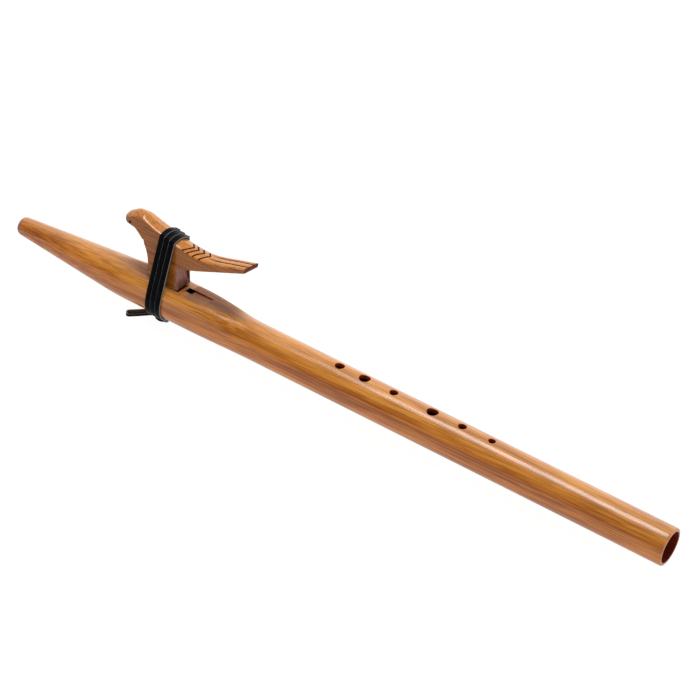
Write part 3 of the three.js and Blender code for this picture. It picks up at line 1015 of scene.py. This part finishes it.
def bird_ring(along, footed):
    """One section, as points of the near half from the keel up to the ridge, and its far half."""
    section = bird_section(along)
    x, half, belly = section.x, section.half_width, section.belly
    near = []
    if footed:
        share = max(0, (foot_start - x) / breast_lean) ** (1 / 3) if x < foot_start else 0
        low = bird_base + foot_top * min(1, share)
        near.append((foot_side(section, low) * foot_keel_share, low))
        for i in range(lower_rows):
            z = mix(low, max(belly, low), (i / (lower_rows - 1)) ** foot_row_crowding)
            near.append((foot_side(section, z), z))
    else:
        near.append((half * keel_share, belly))
        for i in range(lower_rows):
            near.append((half * mix(*belly_places, i / (lower_rows - 1)), belly))
    base_round = min(base_round_share * half, (section.arris - belly) / 4)
    for short, inward in quarter(corner_steps):
        y, z = half - base_round * short, belly + base_round * inward
        near.append((foot_side(section, z) if footed else y, z))
    top = section.arris - section.round
    for i in range(1, upper_rows):
        near.append((half, mix(belly + base_round, top, i / upper_rows)))
    for short, inward in quarter(corner_steps)[:-1]:
        y = half - section.round * inward
        near.append((y, back_height(section, y)))
    for place in crown_places:
        y = place * (half - section.round)
        near.append((y, back_height(section, y)))
    points = [(-y, z) for y, z in near] + [(0, back_height(section, 0))] + near[::-1]
    return [at(x, y, z) for y, z in points]


def make_bird_figure():
    """The head, the breast that runs down to the foot, the foot with its round front, and the tail."""
    breast = bird_share(foot_start - breast_lean)
    stations = [(mix(0, 0.03, i / 14), False) for i in range(15)]
    stations += [(mix(0.03, breast, i / 22), False) for i in range(1, 22)]
    footed = [foot_start - breast_lean * (1 - i / 14) ** 3 for i in range(14)]
    footed += spaced(foot_start, foot_front - foot_corner, 2)
    footed += [foot_front - foot_corner * short for short, inward in quarter(6, 1)]
    stations += [(bird_share(x), True) for x in footed]
    stations += [(along, False) for along in spaced(bird_share(foot_front), 1, 0.01)]
    return draw_out("bird", [bird_ring(*station) for station in stations], bird_wood)


eye_x = 114.5
eye_height = 58.3
eye_radius = 1.4


def scoop_cutter():
    """An upright gouge cut across the foot's front, deepest at half its height, with a gap under it."""
    gap_top = bird_base + scoop_gap
    rows = [(flat_height - over, scoop_gap_depth), (gap_top, scoop_gap_depth)]
    for row in range(scoop_rows + 1):
        z = flat_height + scoop_height * row / scoop_rows
        rows.append((max(z, gap_top + 0.02 * row), 0))
    drawn = []
    for z, extra in rows:
        share = max(0, z - flat_height) / scoop_height
        rim = foot_front + scoop_radius - scoop_depth * share_at(scoop_set_back_shares, share)
        rim -= sqrt(scoop_radius**2 - foot_half_width**2)
        radius = mix(scoop_base_radius, scoop_radius, smoothstep(share, 0, scoop_base_share))
        centre = rim + sqrt(radius**2 - foot_half_width**2) - extra
        drawn.append([at(centre + out, y, z) for out, y in around(radius, 96)])
    cutter = draw_out("scoop_cutter", drawn, scoop_wood)
    # The gap under the hollow gets painted shade.
    return paint_faces(cutter, hole_shade_wood, lambda face: face.center.z < at_z(gap_top + 0.01))


def tail_end_cutter():
    """Trims the tail a little askew, and shows its end grain."""
    end, side = bird_start + bird_length, bird_half_width + over
    low, high = (tail_trim, -side, bird_base), (end + over, side, bird_base + bird_height * 2)
    cutter = block("tail_end_cutter", low, high, tail_end_wood)
    for corner in cutter.data.vertices:
        if corner.co.x < at_x(end):
            corner.co.x += tail_skew * (corner.co.y + bird_half_width * MM)
    return cutter


def paint_back_light_and_groove_shade(bird):
    """Gives the faces that look up a paler copy of the wood as painted light, and the two grooves between
    the tail feathers a dark one as painted shade.
    """

    def in_groove(face):
        place = face.center
        along = min(1, max(0, (place.x - at_x(bird_start)) / (bird_length * MM)))
        across = abs(place.y) / (bird_section(along).half_width * MM)
        near = abs(across - feather_groove) < feather_shade_half_width
        return near and face.normal.z > back_slope and place.x > at_x(feather_full)

    paint_faces(bird, bird_lit_back_wood, lambda face: face.normal.z > back_slope)
    paint_faces(bird, feather_groove_shade_wood, in_groove)


def flue_cutter():
    low = (air_exit_x - air_exit_radius, -flue_width / 2, bird_base - over)
    high = (foot_front + over, flue_width / 2, bird_base + flue_height)
    return block("flue_cutter", low, high, scoop_wood)


chevron_points = (175.5, 180.2, 185.8, 192)
chevron_lean = 6.2
chevron_width = 1.9
chevron_depth = 1.1
chevron_reach = 1.02
chevron_steps = 24
chevron_bend_start = 0.97
chevron_overhang_start = 0.9
chevron_drop = 32
chevron_overhang = 0.36


def chevron_cutter(point):
    """A three-cornered bar bent to a V and laid along the back, its two ends bent down and outward."""
    rings = []
    for i in range(-chevron_steps, chevron_steps + 1):
        across = chevron_reach * i / chevron_steps
        x = point - chevron_lean * abs(across)
        section = bird_section(bird_share(x))
        y = copysign(min(abs(across), 1) * section.half_width, across)
        z = back_height(section, y) - max(0, abs(across) - chevron_bend_start) * chevron_drop
        bar = ((-chevron_width, chevron_depth), (0, -chevron_depth), (chevron_width, chevron_depth))
        if abs(across) > chevron_overhang_start:
            y += copysign(chevron_overhang, across)
        rings.append([at(x + out, y, z + up) for out, up in bar])
    return draw_out("chevron_cutter", rings, groove_wood)


def eye_cutter(side):
    """A small round dimple low on the head."""
    size = {"segments": 24, "ring_count": 12, "radius": eye_radius * MM}
    cutter = new_piece("eye_cutter", groove_wood, bpy.ops.mesh.primitive_uv_sphere_add, **size)
    half = bird_section(bird_share(eye_x)).half_width
    cutter.data.transform(Matrix.Translation(at(eye_x, side * (half + eye_radius * 0.3), eye_height)))
    return cutter


def make_bird():
    bird = make_bird_figure()
    paint_back_light_and_groove_shade(bird)
    for make_cutter in (tail_end_cutter, scoop_cutter, flue_cutter):
        combine(bird, make_cutter())
    for point in chevron_points:
        combine(bird, chevron_cutter(point))
    for side in (-1, 1):
        combine(bird, eye_cutter(side))
    finish_surface(bird, 32)
    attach(bird, "block")
    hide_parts("bird_block")


# Lace

strap_corners = 20
edge_share = 0.06


def strap_ring(point, along, outward, width, thickness):
    """A flat lace's rounded section at a point of its route."""
    outward = (outward - outward.dot(along) * along).normalized()
    across = along.cross(outward)
    ring = []
    rounding = lace_edge_rounding
    flat, deep = width / 2 - rounding, thickness / 2 - rounding
    for i in range(strap_corners):
        turn = 2 * pi * (i + 0.5) / strap_corners
        wide = copysign(flat, cos(turn)) + rounding * cos(turn)
        high = copysign(deep, sin(turn)) + rounding * sin(turn)
        ring.append(point + across * (wide * MM) + outward * (high * MM))
    return ring


def smooth_route(points, steps):
    """A curve through points, as more points."""
    route = []
    for i in range(len(points) - 1):
        before, start = points[max(i - 1, 0)], points[i]
        end, after = points[i + 1], points[min(i + 2, len(points) - 1)]
        bend = 2 * before - 5 * start + 4 * end - after
        sway = 3 * start - before - 3 * end + after
        for t in (j / steps for j in range(steps)):
            route.append(0.5 * (2 * start + (end - before) * t + bend * t * t + sway * t**3))
    return [*route, points[-1]]


def make_strap(name, route, outward, width, thickness, material):
    """A lace along a route. outward gives the side that faces out at each place, and width its width."""
    rings = []
    for i, point in enumerate(route):
        along = (route[min(i + 1, len(route) - 1)] - route[max(i - 1, 0)]).normalized()
        here = width(i / (len(route) - 1)) if callable(width) else width
        rings.append(strap_ring(point, along, outward(i, along), here, thickness))
    return draw_out(name, rings, material, marked=True)


def show_cut_edges(piece, toward_foot=False):
    """Gives the narrow sides of a strap, or the one toward the foot, the look of cut leather."""
    around = [place.value for place in piece.data.attributes["around"].data]

    def is_cut(face):
        places = [around[i] for i in face.vertices]
        if max(places) - min(places) > 0.5:
            places = [place + 1 if place < 0.5 else place for place in places]
        middle = sum(places) / len(places) % 0.5
        narrow = middle < edge_share or middle > 0.5 - edge_share
        return narrow and (face.normal.x > 0 or not toward_foot)

    return paint_faces(piece, lace_edge, is_cut)


def dress_lace(piece, node):
    finish_surface(piece, 50)
    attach(piece, "block")
    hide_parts(node)


def lace_half_turn(x):
    """Half of one turn, from under the body to the ridge of the bird's back, as pairs of Y and Z."""
    section = bird_section(bird_share(x))
    under = body_radius(x) + lace_offset
    half, arris = section.half_width, section.arris
    side = half + lace_offset
    points = []
    for i in range(7):
        turn = radians(-90 + 15 * i)
        points.append((under * cos(turn), under * sin(turn)))
    return points + [
        (body_half_width(x, lace_side_height) + lace_offset, lace_side_height),
        (mix(side, under, 0.5), mix(lace_side_height, arris, 0.5)),
        (side, arris - lace_offset),
        (half + lace_offset * 0.6, arris + lace_offset * 0.75),
        (half * 0.5, arris + section.crown * 0.75 + lace_offset),
        (0, arris + section.crown + lace_offset),
    ]


def lace_route():
    """Up the near side, across the back with a skew, and down the far side to the next turn."""
    points = []
    for turn in range(lace_turns):
        start = lace_start + lace_pitch * turn
        steps = len(lace_half_turn(start)) - 1
        for i in range(2 * steps):
            over_back = smoothstep(i, steps - 3, steps + 3)
            down = smoothstep(i, steps + 3, 2 * steps)
            x = start + lace_skew * over_back + (lace_pitch - lace_skew) * down
            half = lace_half_turn(x)
            y, z = half[i] if i <= steps else half[2 * steps - i]
            drop = (half[-1][1] - z) / (half[-1][1] - half[0][1])
            points.append(at(x + lace_lean * drop, y * (-1 if i <= steps else 1), z))
    end = lace_start + lace_pitch * lace_turns
    points.append(at(end + lace_lean, 0, lace_half_turn(end)[0][1]))
    return smooth_route(points, 6)


def make_winding():
    outward = lambda i, along: Vector((0, -along.z, along.y))
    turns = make_strap("lace_turns", lace_route(), outward, lace_width, lace_thickness, lace_face)
    show_cut_edges(turns, toward_foot=True)
    dress_lace(turns, "lace_winding")


bight_route = (
    (149.3, 2.3), (145.4, 2), (141.4, -0.7), (137.3, -5.9), (132.7, -11.6), (129.6, -15.1),
    (127.9, -15.7), (127.3, -14.3), (129.2, -11.4), (133.4, -6.6), (137.7, -1.2), (143, 3.8),
    (150.3, 4.9),
)
stub_route = ((156.6, -2.1), (158.2, -2.5), (160.2, -3.1))


def downward(i, along):
    return Vector((0, 0, -1))


def bight_width(share):
    """The near strand lies twisted, so that it stands lower than the far one."""
    out = smoothstep(share, 0.02, 0.16) * (1 - smoothstep(share, 0.47, 0.6))
    return mix(tail_width, near_strand_width, out)


def make_tails():
    """The folded end and the short cut end, that both come out of the knot."""
    route = smooth_route([at(x, y, tail_top - tail_width) for x, y in bight_route], 8)
    for i, point in enumerate(route):
        point.z += bight_width(i / (len(route) - 1)) / 2 * MM
    outward = lambda i, along: along.cross(Vector((0, 0, 1)))
    bight = make_strap("lace_loop", route, outward, bight_width, bight_thickness, lace_suede)
    show_cut_edges(bight)
    reached = [place.value for place in bight.data.attributes["along"].data]
    half_way = max(reached) / 2

    def is_near(face):
        place = sum(reached[i] for i in face.vertices) / len(face.vertices)
        return face.material_index == 0 and place < half_way

    paint_faces(bight, lace_face, is_near)
    dress_lace(bight, "lace_bight")
    route = smooth_route([at(x, y, tail_top - lace_thickness / 2) for x, y in stub_route], 6)
    thickness = lace_thickness * 0.9
    stub = make_strap("lace_cut_end", route, downward, cut_end_width, thickness, lace_suede)
    show_cut_edges(stub)
    dress_lace(stub, "lace_end")


knot_spread = (0.55, 0.6)
knot_depth = 1.3
knot_wave = 0.5
knot_strap = (3.4, 2.2)


def make_knot():
    """A flat coil in the place where the frame has the knot."""
    low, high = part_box("lace_knot")
    centre, reach = (low + high) / 2, (high - low) / 2
    level = at_z(tail_top) - knot_depth * MM
    points = []
    for i in range(13):
        turn = 2 * pi * i / 12
        x = centre.x + knot_spread[0] * reach.x * cos(turn)
        y = centre.y + knot_spread[1] * reach.y * sin(turn)
        points.append(Vector((x, y, level + knot_wave * MM * cos(2 * turn))))
    knot = make_strap("lace_knotted", smooth_route(points, 6), downward, *knot_strap, lace_face)
    dress_lace(knot, "lace_knot")


# Stage

floor_reach = 6
floor_drop = 0.2
floor_colour = (0.9, 0.9, 0.9, 1)
floor_bounce = 1.5
floor_white = 1.08
floor_shadow_share = 0.9
floor_sheen = (0.5, 1.1)


def make_floor():
    """A white floor that shows the flute's own shadow faintly, and is clear from below.
    It throws a little light of its own up at the flute's underside."""
    material = bpy.data.materials.new("studio_floor")
    board = clear_board(material)
    pale = board.first("BsdfDiffuse", {"Color": floor_colour})
    bounce = board.mixed(0.5, pale, board.glow(floor_bounce))
    behind = board.axes(board.place())["Y"]
    mirrored = board.glow(board.ramp(behind, 0.0, 0.25, *floor_sheen))
    faint = board.mixed(floor_shadow_share, pale, board.glow(floor_white))
    rays = board.add("LightPath").outputs
    plain = board.mixed(rays["Is Glossy Ray"], bounce, mirrored)
    shown = board.mixed(rays["Is Camera Ray"], plain, faint)
    below = board.add("NewGeometry").outputs["Backfacing"]
    sided = board.mixed(below, shown, board.first("BsdfTransparent"))
    board.add("OutputMaterial", {"Surface": sided})
    place = (0, 0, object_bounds()[0][2] - floor_drop * MM)
    add = bpy.ops.mesh.primitive_plane_add
    new_piece("floor", material, add, size=floor_reach, location=place)


def add_strip(name, middle, width, radiance):
    """A soft rectangular lamp that faces down, its length along the flute."""
    lamp = bpy.data.lights.new(name, "AREA")
    lamp.shape = "RECTANGLE"
    lamp.size = strip_length
    lamp.size_y = width
    lamp.energy = radiance * pi * strip_length * width
    strip = bpy.data.objects.new(name, lamp)
    strip.location = at(middle, 0, strip_height)
    bpy.context.scene.collection.objects.link(strip)


# How bright the room is, in front of the flute and behind it, and its sheen overhead
room_light = (0.22, 0.78)
room_sheen = (0.03, 1.1)
sheen_above = 0.35
strip_length = 0.55
strip_height = 1000
overhead_strip = (225, 0.36, 8)
narrow_strip = (-350, 0.05, 3)


def make_room():
    """A pale room, whose sheen on the flute is bright behind it and dark in front."""
    world = bpy.data.worlds.new("room")
    bpy.context.scene.world = world
    board = clear_board(world)
    axes = board.axes(board.add("TexCoord").outputs["Generated"])
    sheen = board.ramp(axes["Y"], -0.7, 0.25, *room_sheen)
    sheen = board.times(sheen, board.ramp(axes["Z"], 0.6, 0.97, 1.0, sheen_above))
    soft = board.ramp(axes["Y"], -0.7, 0.7, *room_light)
    rays = board.add("LightPath").outputs
    seen_by_wood = board.mixed(rays["Is Glossy Ray"], board.backdrop(soft), board.backdrop(sheen))
    shown = board.mixed(rays["Is Camera Ray"], seen_by_wood, board.backdrop(1.0))
    board.add("OutputWorld", {"Surface": shown})


make_body()
make_bird()
make_winding()
make_tails()
make_knot()
make_floor()
make_room()
add_strip("overhead_strip", *overhead_strip)
add_strip("narrow_strip", *narrow_strip)
set_up_camera()

bpy.context.scene.view_settings.view_transform = "Standard"
